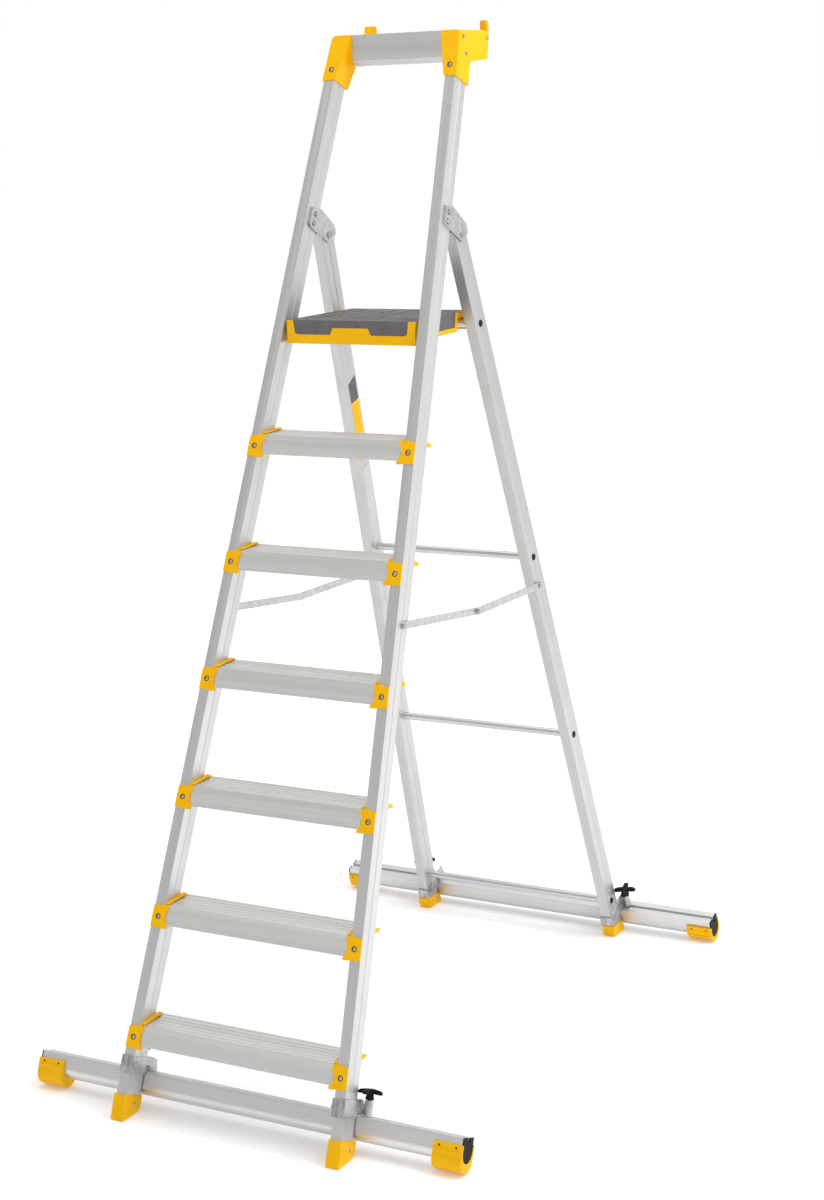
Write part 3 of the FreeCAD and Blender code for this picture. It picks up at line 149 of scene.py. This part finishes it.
def aluminium(name, tone, streak_axis, turn=(0, 0, 0), rough=0.36, warm=1.0):
    """Extruded aluminium with fine drawing lines along streak_axis and faint smudges."""
    m = Mat(name, edge=0.0012)
    m.plain(Metallic=0.85)
    fine, broad = [FINE_LINES] * 3, [BROAD_BANDS] * 3
    fine[streak_axis] = 1.0
    broad[streak_axis] = 0.5
    lines = m.noise(1.0, 4.0, 0.7, m.stretched(fine, turn))
    bands = m.noise(1.0, 2.0, 0.5, m.stretched(broad, turn))
    smudge = m.noise(7.0, 5.0, 0.65)
    scratch = m.noise(90.0, 5.0, 0.8)
    dark = rgba(tone * 0.90, tone * 0.90, tone * 0.89 * warm)
    light = rgba(tone * 1.04, tone * 1.04, tone * 1.03 * warm)
    base = m.mix(m.ramp(lines, 0.3, 0.7), dark, light)
    drawn = m.mix(m.ramp(bands, 0.4, 0.62, 0.0, 0.6), base,
                  rgba(tone * 0.86, tone * 0.86, tone * 0.86 * warm))
    dull = m.mix(m.ramp(smudge, 0.48, 0.75, 0.0, 0.35), drawn,
                 rgba(tone * 0.82, tone * 0.81, tone * 0.79))
    m.color(m.mix(m.ramp(scratch, 0.66, 0.74, 0.0, 0.3), dull, grey(tone * 0.6)))
    m.rough(m.math("ADD", m.ramp(lines, 0.3, 0.7, rough - 0.05, rough + 0.07),
                   m.ramp(smudge, 0.4, 0.8, 0.0, 0.12)))
    m.bump(lines, 0.16, 0.0004)
    return m.mat


def plastic(name, color, deep, rough=0.4, grain=700.0, grain_amount=0.15, wear=None, shine=0.4):
    """Moulded plastic: fine texture, slight mottling and dulled patches."""
    m = Mat(name, edge=0.0011)
    m.plain(Specular_IOR_Level=shine)
    mottle = m.noise(22.0, 4.0, 0.6)
    base = m.mix(m.ramp(mottle, 0.35, 0.75), color, deep)
    if wear is not None:
        scuff = m.noise(140.0, 6.0, 0.75, m.stretched((1.0, 1.0, 0.25)))
        base = m.mix(m.ramp(scuff, 0.62, 0.74, 0.0, 0.35), base, wear)
    m.color(base)
    m.rough(m.ramp(mottle, 0.3, 0.8, rough - 0.05, rough + 0.14))
    m.bump(m.noise(grain, 2.0, 0.5), grain_amount, 0.0004)
    m.bump(m.noise(16.0, 2.0, 0.5), 0.08, 0.002)
    return m.mat


def zinc(name, tone, rough=0.36):
    """Zinc-plated steel: cloudy grain and small darker specks."""
    m = Mat(name, edge=0.0008)
    m.plain(Metallic=0.9)
    cloud = m.noise(60.0, 5.0, 0.65)
    speck = m.noise(420.0, 2.0, 0.5)
    base = m.mix(m.ramp(cloud, 0.35, 0.7), rgba(tone * 0.70, tone * 0.71, tone * 0.72),
                 rgba(tone * 1.05, tone * 1.05, tone * 1.04))
    m.color(m.mix(m.ramp(speck, 0.6, 0.75, 0.0, 0.3), base, grey(tone * 0.5)))
    m.rough(m.ramp(cloud, 0.3, 0.7, rough - 0.08, rough + 0.12))
    m.bump(speck, 0.12, 0.0003)
    return m.mat


# ---------------------------------------------------------------- axes of the stiles
# Metres, in the local axes of a stile: X across, Y back, Z along the stile.
FRONT_LEAN = math.radians(22.4)
REAR_LEAN = math.radians(17.6)
FRONT_TAPER = math.radians(2.84)
REAR_TAPER = math.radians(2.97)
SIDES = (("left", -1), ("right", 1))
STILE_HALF = 0.0125
FRONT_FLOOR = (0.267, -0.750)
REAR_FLOOR = (0.26633, 0.67448)


def front_axes(side):
    return (Matrix.Translation((side * FRONT_FLOOR[0], FRONT_FLOOR[1], 0))
            @ Matrix.Rotation(-FRONT_LEAN, 4, "X") @ Matrix.Rotation(-side * FRONT_TAPER, 4, "Y"))


def rear_axes(side):
    return (Matrix.Translation((side * REAR_FLOOR[0], REAR_FLOOR[1], 0))
            @ Matrix.Rotation(REAR_LEAN, 4, "X") @ Matrix.Rotation(-side * REAR_TAPER, 4, "Y"))


# ---------------------------------------------------------------- materials
YELLOW = rgba(0.93, 0.51, 0.0)
mats = {
    "front_left": aluminium("front left stile", 0.70, 2, front_axes(-1).to_euler()),
    "front_right": aluminium("front right stile", 0.70, 2, front_axes(1).to_euler()),
    # The rear stiles take a darker tone of the same aluminium, 0.60 against 0.70: painted shade.
    "rear_left": aluminium("rear left stile", 0.60, 2, rear_axes(-1).to_euler()),
    "rear_right": aluminium("rear right stile", 0.60, 2, rear_axes(1).to_euler()),
    "tread": aluminium("tread aluminium", 0.80, 0, warm=0.98),
    "tray": aluminium("tray aluminium", 0.62, 0),
    "bar": aluminium("stabiliser aluminium", 0.74, 0),
    "tube": aluminium("crossbar aluminium", 0.66, 0, rough=0.3),
    "yellow": plastic("yellow plastic", YELLOW, rgba(0.89, 0.455, 0.0), 0.5,
                      wear=rgba(0.80, 0.44, 0.0), shine=0.15),
    "black": plastic("black plastic", rgba(0.006, 0.006, 0.0065), rgba(0.012, 0.012, 0.0125), 0.5,
                     grain_amount=0.25, wear=grey(0.02), shine=0.12),
    "deck": plastic("grey deck plastic", rgba(0.135, 0.127, 0.131), rgba(0.105, 0.098, 0.102),
                    0.62, 320.0, 0.5, wear=rgba(0.2, 0.195, 0.195)),
    "grip": plastic("worn grey deck plastic", rgba(0.36, 0.355, 0.358), rgba(0.24, 0.235, 0.238),
                    0.55, 320.0, 0.4, wear=rgba(0.5, 0.495, 0.495)),
    "zinc": zinc("zinc plated steel", 0.62, 0.32),
    "steel": zinc("bright steel", 0.5, 0.3),
    "label_dark": plastic("dark label film", rgba(0.07, 0.075, 0.075), rgba(0.09, 0.095, 0.095),
                          0.3, 300.0, 0.03),
    "label_yellow": plastic("yellow label film", rgba(0.90, 0.49, 0.0), rgba(0.84, 0.44, 0.0),
                            0.4, 300.0, 0.03, shine=0.15),
    "label_white": plastic("white label film", rgba(0.58, 0.575, 0.56), rgba(0.52, 0.515, 0.50),
                           0.35, 300.0, 0.03),
}
BY_SLOT = {"tread_aluminium": "tread", "tray_aluminium": "tray", "crossbar_tube": "tube",
           "bar_aluminium": "bar", "yellow_plastic": "yellow", "black_plastic": "black",
           "deck_plastic": "deck", "zinc_steel": "zinc", "bright_steel": "steel"}
slots = {part["node"]: part["material_slot"] for part in frame["record"]["subparts"]}
for name, obj in nodes.items():
    kind = BY_SLOT.get(slots[name])
    if kind is None:
        # Each stile has a material of its own, turned with its lean and taper.
        kind = name.replace("_stile", "")
    obj.data.materials.clear()
    obj.data.materials.append(mats[kind])


# ---------------------------------------------------------------- detail pieces
class Shape:
    """Vertices and faces gathered from several small solids, each under a matrix."""

    def __init__(self):
        self.verts = []
        self.faces = []

    def add(self, matrix, verts, faces):
        first = len(self.verts)
        self.verts += [matrix @ Vector(v) for v in verts]
        self.faces += [[first + i for i in face] for face in faces]

    def loft(self, matrix, rings, closed=False):
        """Closed rings of points joined into a skin, with flat ends or joined round."""
        count = len(rings[0])
        faces = []
        pairs = len(rings) if closed else len(rings) - 1
        for k in range(pairs):
            a, b = k * count, (k + 1) % len(rings) * count
            for i in range(count):
                j = (i + 1) % count
                faces.append([a + i, a + j, b + j, b + i])
        if not closed:
            last = (len(rings) - 1) * count
            faces.append(list(reversed(range(count))))
            faces.append([last + i for i in range(count)])
        self.add(matrix, [point for ring in rings for point in ring], faces)

    def turned(self, matrix, profile, count=28, closed=False):
        """A profile of (radius, height) turned round Z."""
        rings = []
        for radius, height in profile:
            rings.append([(radius * math.cos(2 * math.pi * i / count),
                           radius * math.sin(2 * math.pi * i / count), height)
                          for i in range(count)])
        self.loft(matrix, rings, closed)

    def piece(self, name, mat, body, slot, smooth=35):
        """The gathered mesh as one object, smooth below the given angle in degrees."""
        mesh = bpy.data.meshes.new(name)
        mesh.from_pydata(self.verts, [], self.faces)
        mesh.materials.append(mats[mat])
        made = bpy.data.objects.new(name, mesh)
        bpy.context.scene.collection.objects.link(made)
        mesh.shade_smooth()
        mesh.set_sharp_from_angle(angle=math.radians(smooth))
        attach(made, body)
        return made


def facing(direction):
    """The rotation that turns +Z into a direction."""
    return Vector(direction).to_track_quat("Z", "Y").to_matrix().to_4x4()


# Rivets of the step clips and top caps, along the front stiles.
FIRST_RIVET = 0.1805
STEP = 0.240 / (math.cos(FRONT_LEAN) * math.cos(FRONT_TAPER))
STEPS = 6
CAP_RIVET = 2.342
RIVET_INWARD = 0.0025
CLIP_COVER, CAP_COVER = 0.0025, 0.0020
# Profile of a dark ring of painted shade in a rivet's seat.
SHADE_RING = ((0.0045, 0.0), (0.0060, 0.0), (0.0060, 0.0005), (0.0054, 0.0009), (0.0047, 0.0006))


def rivet_rings():
    """Dark rings of painted shade in the round seats about the rivets of the clips and caps."""
    rings = Shape()
    seats = [(FIRST_RIVET + step * STEP, CLIP_COVER) for step in range(STEPS)]
    seats.append((CAP_RIVET, CAP_COVER))
    for _, side in SIDES:
        for along, cover in seats:
            spot = Matrix.Translation((-RIVET_INWARD * side, -cover, along)) @ facing((0, -1, 0))
            rings.turned(front_axes(side) @ spot, SHADE_RING, closed=True)
    rings.piece("rivet_rings", "black", "front_frame", "black_plastic")


# The hinges: (back, along) of the plates' rivets and of the stop pins behind the stile.
HINGE_RIVETS = ((0.030, 2.019), (0.029, 1.9975))
HINGE_STOPS = ((0.0540, 2.0345), (0.0550, 1.9850))
PLATE_FACE = STILE_HALF + 0.0045
WASHER = ((0.0040, -0.0002), (0.0058, -0.0002), (0.0058, 0.0003), (0.0048, 0.0006))
PIN = ((0.0024, -0.0139), (0.0030, -0.0133), (0.0030, 0.0133), (0.0024, 0.0139))


def hinge_washers():
    """Dark washers under the heads of the hinge rivets, on both faces of the plates."""
    washers = Shape()
    for _, side in SIDES:
        for face in (-1, 1):
            for back, along in HINGE_RIVETS:
                spot = (Matrix.Translation((face * PLATE_FACE, back, along))
                        @ facing((face, 0, 0)))
                washers.turned(front_axes(side) @ spot, WASHER, closed=True)
    washers.piece("hinge_washers", "black", "front_frame", "black_plastic")


def hinge_stops():
    """Black stop pins between the hinge plates, behind the stile."""
    pins = Shape()
    for _, side in SIDES:
        for back, along in HINGE_STOPS:
            spot = Matrix.Translation((0, back, along)) @ facing((1, 0, 0))
            pins.turned(front_axes(side) @ spot, PIN)
    pins.piece("hinge_stops", "black", "front_frame", "black_plastic")


# Star knobs: a domed head with four drooping arms on a stepped hub, and its screw.
ARM_REACH, ARM_HALF, STAR_CORE = 0.0285, 0.0058, 0.0102
CORNER_SHARP = 10.0
ARM_DROOP = 0.0022
STAR_POINTS = 96
KNOB_RINGS = ((0.30, 0.0130), (0.90, 0.0134), (0.985, 0.0146), (1.0, 0.0168), (0.985, 0.0190),
              (0.93, 0.0206), (0.80, 0.0217), (0.60, 0.0224), (0.38, 0.0228), (0.15, 0.0230))
KNOB_HUB = ((0.0085, 0.0), (0.0090, 0.0008), (0.0090, 0.0060), (0.0078, 0.0066),
            (0.0078, 0.0110), (0.0088, 0.0140))
SCREW_RADIUS, SCREW_OVERLAP, SCREW_COUNT = 0.0040, 0.0002, 16
KNOB_OUT = 0.028
KNOB_SMOOTH = 40
KNOB_TURN = {"rear_knob_left": 30, "rear_knob_right": 12}
# Axes of the stile, distance back, distance along it, and length of the screw.
KNOBS = {"front": (front_axes, 0.075, 0.1402, 0.0310), "rear": (rear_axes, 0.050, 0.0852, 0.0318)}


def star_radius(angle):
    """Outline of a four-armed star with round arm tips and filleted inner corners."""
    turn = (angle + math.pi / 4) % (math.pi / 2) - math.pi / 4
    tip = ARM_REACH - ARM_HALF
    across = abs(math.sin(turn))
    if across * tip < ARM_HALF:
        arm = tip * math.cos(turn) + math.sqrt(ARM_HALF ** 2 - (tip * across) ** 2)
    else:
        arm = ARM_HALF / across
    return (arm ** CORNER_SHARP + STAR_CORE ** CORNER_SHARP) ** (1 / CORNER_SHARP)


def star_level(scale, height):
    """One ring of the head: the star scaled, and lowered towards its arm tips."""
    level = []
    for i in range(STAR_POINTS):
        angle = 2 * math.pi * i / STAR_POINTS
        radius = star_radius(angle) * scale
        droop = ARM_DROOP * (radius / ARM_REACH) ** 2
        level.append((radius * math.cos(angle), radius * math.sin(angle), height - droop))
    return level


def knob_head(which, side_name, side):
    axes, back, lift, screw = KNOBS[which]
    name = "%s_knob_%s" % (which, side_name)
    turn = Matrix.Rotation(math.radians(KNOB_TURN.get(name, 0)), 4, "Z")
    spot = axes(side) @ Matrix.Translation((side * KNOB_OUT, back, lift)) @ turn
    knob = Shape()
    knob.loft(spot, [star_level(scale, height) for scale, height in KNOB_RINGS])
    knob.turned(spot, KNOB_HUB)
    thread = [(SCREW_RADIUS, -screw), (SCREW_RADIUS, SCREW_OVERLAP)]
    knob.turned(spot, thread, SCREW_COUNT)
    head = knob.piece(name + "_head", "black", name, "black_plastic", KNOB_SMOOTH)
    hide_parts(name)


# Clamp bands: axes of the stile, front face of the band, and its lower and upper edge.
CLAMP_BANDS = {"front": (front_axes, -0.003, 0.1025, 0.1405),
               "rear": (rear_axes, -0.028, 0.042, 0.066)}
# Ribs: place across the band, width, and how far each stands proud.
RIBS = ((-0.0125, 0.0022, 0.0022), (-0.0055, 0.0014, 0.0012),
        (-0.0015, 0.0014, 0.0012), (0.0105, 0.0018, 0.0014))
RIB_BURIED, RIB_END = 0.0003, 0.0012
RIB_SHOULDER, RIB_BEVEL = 0.6, 0.3


def clamp_ribs(which):
    """Pressed ribs on the front bands of one pair of clamps, in darker steel as painted shade."""
    axes, face, low, high = CLAMP_BANDS[which]
    ribs = Shape()
    for _, side in SIDES:
        for x, wide, proud in RIBS:
            a, b = side * x - wide / 2, side * x + wide / 2
            outline = [(a, face + RIB_BURIED), (b, face + RIB_BURIED),
                       (b, face - proud * RIB_SHOULDER), (b - wide * RIB_BEVEL, face - proud),
                       (a + wide * RIB_BEVEL, face - proud), (a, face - proud * RIB_SHOULDER)]
            ribs.loft(axes(side), [[(px, py, z) for px, py in outline]
                                   for z in (low + RIB_END, high - RIB_END)])
    # The darker steel of the ribs is painted shade for the dark grooves across the bands.
    ribs.piece(which + "_clamp_ribs", "steel", which + "_frame", "zinc_steel")


# Stabiliser bars: lean, floor point, distance back and distance along the stile.
BARS = {
    "front": (-FRONT_LEAN, FRONT_FLOOR[1], 0.075, 0.108),
    "rear": (REAR_LEAN, REAR_FLOOR[1], 0.050, 0.0522),
}
SHOE_MIDDLE = 0.520 - 0.033 + 0.004
SHOE_FACE, SCREW_FACE = 0.027, 0.0268
# Seams: height in the bar's axes, and half length.
SEAMS = ((-0.0265, 0.030), (-0.0395, 0.0325))
SEAM_BURIED, SEAM_PROUD = 0.0004, 0.0007
SEAM_FOOT, SEAM_RIDGE = 0.0009, 0.0004
SCREWS_ALONG, SCREW_HEIGHT = (-0.019, 0.019), -0.0215
SHOE_SCREW = ((0.0021, 0.0), (0.0021, 0.0006), (0.0012, 0.0009))


def shoe_details(which):
    """Raised seams along the shoes of one bar, and two small dark screws on each face."""
    lean, floor_y, back, along = BARS[which]
    axes = (Matrix.Translation((0, floor_y, 0)) @ Matrix.Rotation(lean, 4, "X")
            @ Matrix.Translation((0, back, along)))
    seams, screws = Shape(), Shape()
    for _, side in SIDES:
        middle = side * SHOE_MIDDLE
        for face in (-1, 1):
            y = face * SHOE_FACE
            for height, long in SEAMS:
                outline = [(y - face * SEAM_BURIED, height - SEAM_FOOT),
                           (y + face * SEAM_PROUD, height - SEAM_RIDGE),
                           (y + face * SEAM_PROUD, height + SEAM_RIDGE),
                           (y - face * SEAM_BURIED, height + SEAM_FOOT)]
                seams.loft(axes, [[(x, py, pz) for py, pz in outline]
                                  for x in (middle - long, middle + long)])
            for x in SCREWS_ALONG:
                spot = (Matrix.Translation((middle + x, face * SCREW_FACE, SCREW_HEIGHT))
                        @ facing((0, face, 0)))
                screws.turned(axes @ spot, SHOE_SCREW, SCREW_COUNT)
    seams.piece(which + "_shoe_seams", "yellow", which + "_bar", "yellow_plastic")
    screws.piece(which + "_shoe_screws", "black", which + "_bar", "black_plastic")


# Marks on the deck: rows and columns, margins as shares of a row, and the half width.
ROWS, COLUMNS = 17, 13
FIRST_ROW, SPARE_ROWS = 0.9, 0.8
DECK_HALF, DECK_NARROWS = 0.142, 0.010
MARK_SHIFT = 0.0045
PILL_POINTS, PILL_ROUND, PILL_HALF = 10, 0.0016, 0.0052
# Width factor, depth factor and height of each level of a mark.
PILL_LEVELS = ((1.0, 1.0, -0.0004), (1.0, 1.0, 0.0003), (0.9, 0.7, 0.0009))


def pill_outline():
    outline = []
    for i in range(PILL_POINTS):
        angle = math.pi * i / (PILL_POINTS // 2)
        middle = PILL_HALF if i < PILL_POINTS // 2 else -PILL_HALF
        outline.append((math.cos(angle) * PILL_ROUND + middle, math.sin(angle) * PILL_ROUND))
    return outline


def deck_grip():
    """Rows of small raised marks on the deck, turned in alternate directions."""
    deck_low, deck_high = [Vector(corner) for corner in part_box("platform_deck")]
    grip = Shape()
    pill = pill_outline()
    for row in range(ROWS):
        part = (row + FIRST_ROW) / (ROWS + SPARE_ROWS)
        y = deck_low.y + part * (deck_high.y - deck_low.y)
        half = DECK_HALF - part * DECK_NARROWS
        for column in range(COLUMNS):
            x = half * (2 * column / (COLUMNS - 1) - 1) + (MARK_SHIFT if row % 2 else -MARK_SHIFT)
            tilt = Matrix.Rotation(math.radians(90 if (row + column) % 2 else 0), 4, "Z")
            spot = Matrix.Translation((x, y, deck_high.z)) @ tilt
            grip.loft(spot, [[(px * wide, py * deep, z) for px, py in pill]
                             for wide, deep, z in PILL_LEVELS])
    grip.piece("deck_grip", "grip", "platform", "deck_plastic")


# Plain stickers on the left rear stile: lower edge, upper edge, and slant of the upper edge.
STICKERS = (("dark", 1.4812, 1.5400, 0.010), ("yellow", 1.3300, 1.4806, 0.0),
            ("white", 1.1000, 1.3100, 0.0))
FILM_FRONT, FILM_BACK = -0.0140, 0.0205
FILM_LEVELS = (STILE_HALF - 0.0001, STILE_HALF + 0.0003)


def stickers():
    """Plain stickers on the inner face of the left rear stile."""
    for tint, low, high, slant in STICKERS:
        film = Shape()
        outline = [(FILM_FRONT, low), (FILM_BACK, low), (FILM_BACK, high),
                   (FILM_FRONT, high - slant)]
        film.loft(rear_axes(-1), [[(x, y, z) for y, z in outline] for x in FILM_LEVELS])
        film.piece("sticker_" + tint, "label_" + tint, "rear_frame", "yellow_plastic")


rivet_rings()
hinge_washers()
hinge_stops()
for which in KNOBS:
    for side_name, side in SIDES:
        knob_head(which, side_name, side)
for which in CLAMP_BANDS:
    clamp_ribs(which)
for which in BARS:
    shoe_details(which)
deck_grip()
stickers()


# ---------------------------------------------------------------- floor, light, camera
FLOOR_RADIUS, FLOOR_POINTS = 60, 96
# Distance from the middle and glow there, near and far: the floor fades into the background.
GLOW = (0.5, 3.0, 0.10, 0.34)
# The world's brightness over the dot product with the dim direction.
DIM_TOWARD = (-0.50, -0.80, 0.34)
DIMMING = (-0.10, 0.80, 0.84, 0.58)
WORLD_STRENGTH = 1.0


def pale_floor():
    bpy.ops.mesh.primitive_circle_add(vertices=FLOOR_POINTS, radius=FLOOR_RADIUS,
                                      fill_type="NGON", location=(0, 0, 0))
    floor = bpy.context.object
    floor.name = "floor"
    m = Mat("pale floor")
    m.plain(Roughness=0.9, Emission_Color=rgba(1.0, 1.0, 1.0))
    m.color(m.mix(m.ramp(m.noise(1.5), 0.3, 0.7), grey(0.955), grey(0.97)))
    away = m.node("VectorMath", operation="LENGTH")
    m.link(m.coord, away.inputs[0])
    m.link(m.ramp(away.outputs["Value"], *GLOW), m.bsdf.inputs["Emission Strength"])
    floor.data.materials.append(m.mat)


def studio_world():
    """A white room that is dimmer ahead and to the left, which shades the front faces."""
    world = bpy.data.worlds.new("studio")
    bpy.context.scene.world = world
    world.use_nodes = True
    tree = world.node_tree
    background = tree.nodes["Background"]
    background.inputs["Strength"].default_value = WORLD_STRENGTH
    direction = tree.nodes.new("ShaderNodeTexCoord").outputs["Generated"]
    toward = tree.nodes.new("ShaderNodeVectorMath")
    toward.operation = "DOT_PRODUCT"
    toward.inputs[1].default_value = Vector(DIM_TOWARD).normalized()
    tree.links.new(direction, toward.inputs[0])
    shade = tree.nodes.new("ShaderNodeMapRange")
    for index, value in enumerate(DIMMING, start=1):
        shade.inputs[index].default_value = value
    tree.links.new(toward.outputs["Value"], shade.inputs[0])
    # The background itself shows plain white; only the light it gives is graded.
    seen = tree.nodes.new("ShaderNodeLightPath").outputs["Is Camera Ray"]
    lit = tree.nodes.new("ShaderNodeMath")
    lit.operation = "MAXIMUM"
    tree.links.new(shade.outputs[0], lit.inputs[0])
    tree.links.new(seen, lit.inputs[1])
    tree.links.new(lit.outputs[0], background.inputs["Color"])


def area_light(name, place, aim, size, power):
    lamp = bpy.data.lights.new(name, "AREA")
    lamp.shape = "RECTANGLE"
    lamp.size, lamp.size_y = size
    lamp.energy = power
    holder = bpy.data.objects.new(name, lamp)
    bpy.context.scene.collection.objects.link(holder)
    holder.location = place
    holder.rotation_euler = (Vector(aim) - Vector(place)).to_track_quat("-Z", "Y").to_euler()


# The camera: angles, focal length and centre in pixels of the whole frame, and its place.
YAW, PITCH, ROLL = math.radians(28.949), math.radians(-12.884), math.radians(-2.1025)
FOCAL, CENTER = 2232.6, (411.57, 611.60)
FRAME_WIDE, FRAME_TALL = 824, 1200
SENSOR = 36.0
CAMERA_PLACE = (2.4422, -4.2682, 2.0902)


def studio_camera():
    look = Vector((-math.sin(YAW) * math.cos(PITCH), math.cos(YAW) * math.cos(PITCH),
                   math.sin(PITCH)))
    right = Vector((math.cos(YAW), math.sin(YAW), 0))
    up = right.cross(look)
    cam_x = right * math.cos(ROLL) + up * math.sin(ROLL)
    cam_y = up * math.cos(ROLL) - right * math.sin(ROLL)
    camera = bpy.data.objects.new("camera", bpy.data.cameras.new("camera"))
    camera.data.sensor_width = SENSOR
    camera.data.lens = FOCAL * SENSOR / FRAME_TALL
    camera.data.shift_x = (FRAME_WIDE / 2 - CENTER[0]) / FRAME_TALL
    camera.data.shift_y = (CENTER[1] - FRAME_TALL / 2) / FRAME_TALL
    place = Matrix((cam_x, cam_y, -look)).transposed().to_4x4()
    place.translation = Vector(CAMERA_PLACE)
    camera.matrix_world = place
    bpy.context.scene.collection.objects.link(camera)
    bpy.context.scene.camera = camera


pale_floor()
studio_world()
area_light("key", (3.6, 0.6, 4.4), (0, 0, 1.0), (2.6, 2.6), 90)
area_light("top", (0.0, 0.5, 5.2), (0, 0, 1.0), (4.0, 4.0), 90)
bpy.context.scene.view_settings.view_transform = "Standard"
studio_camera()
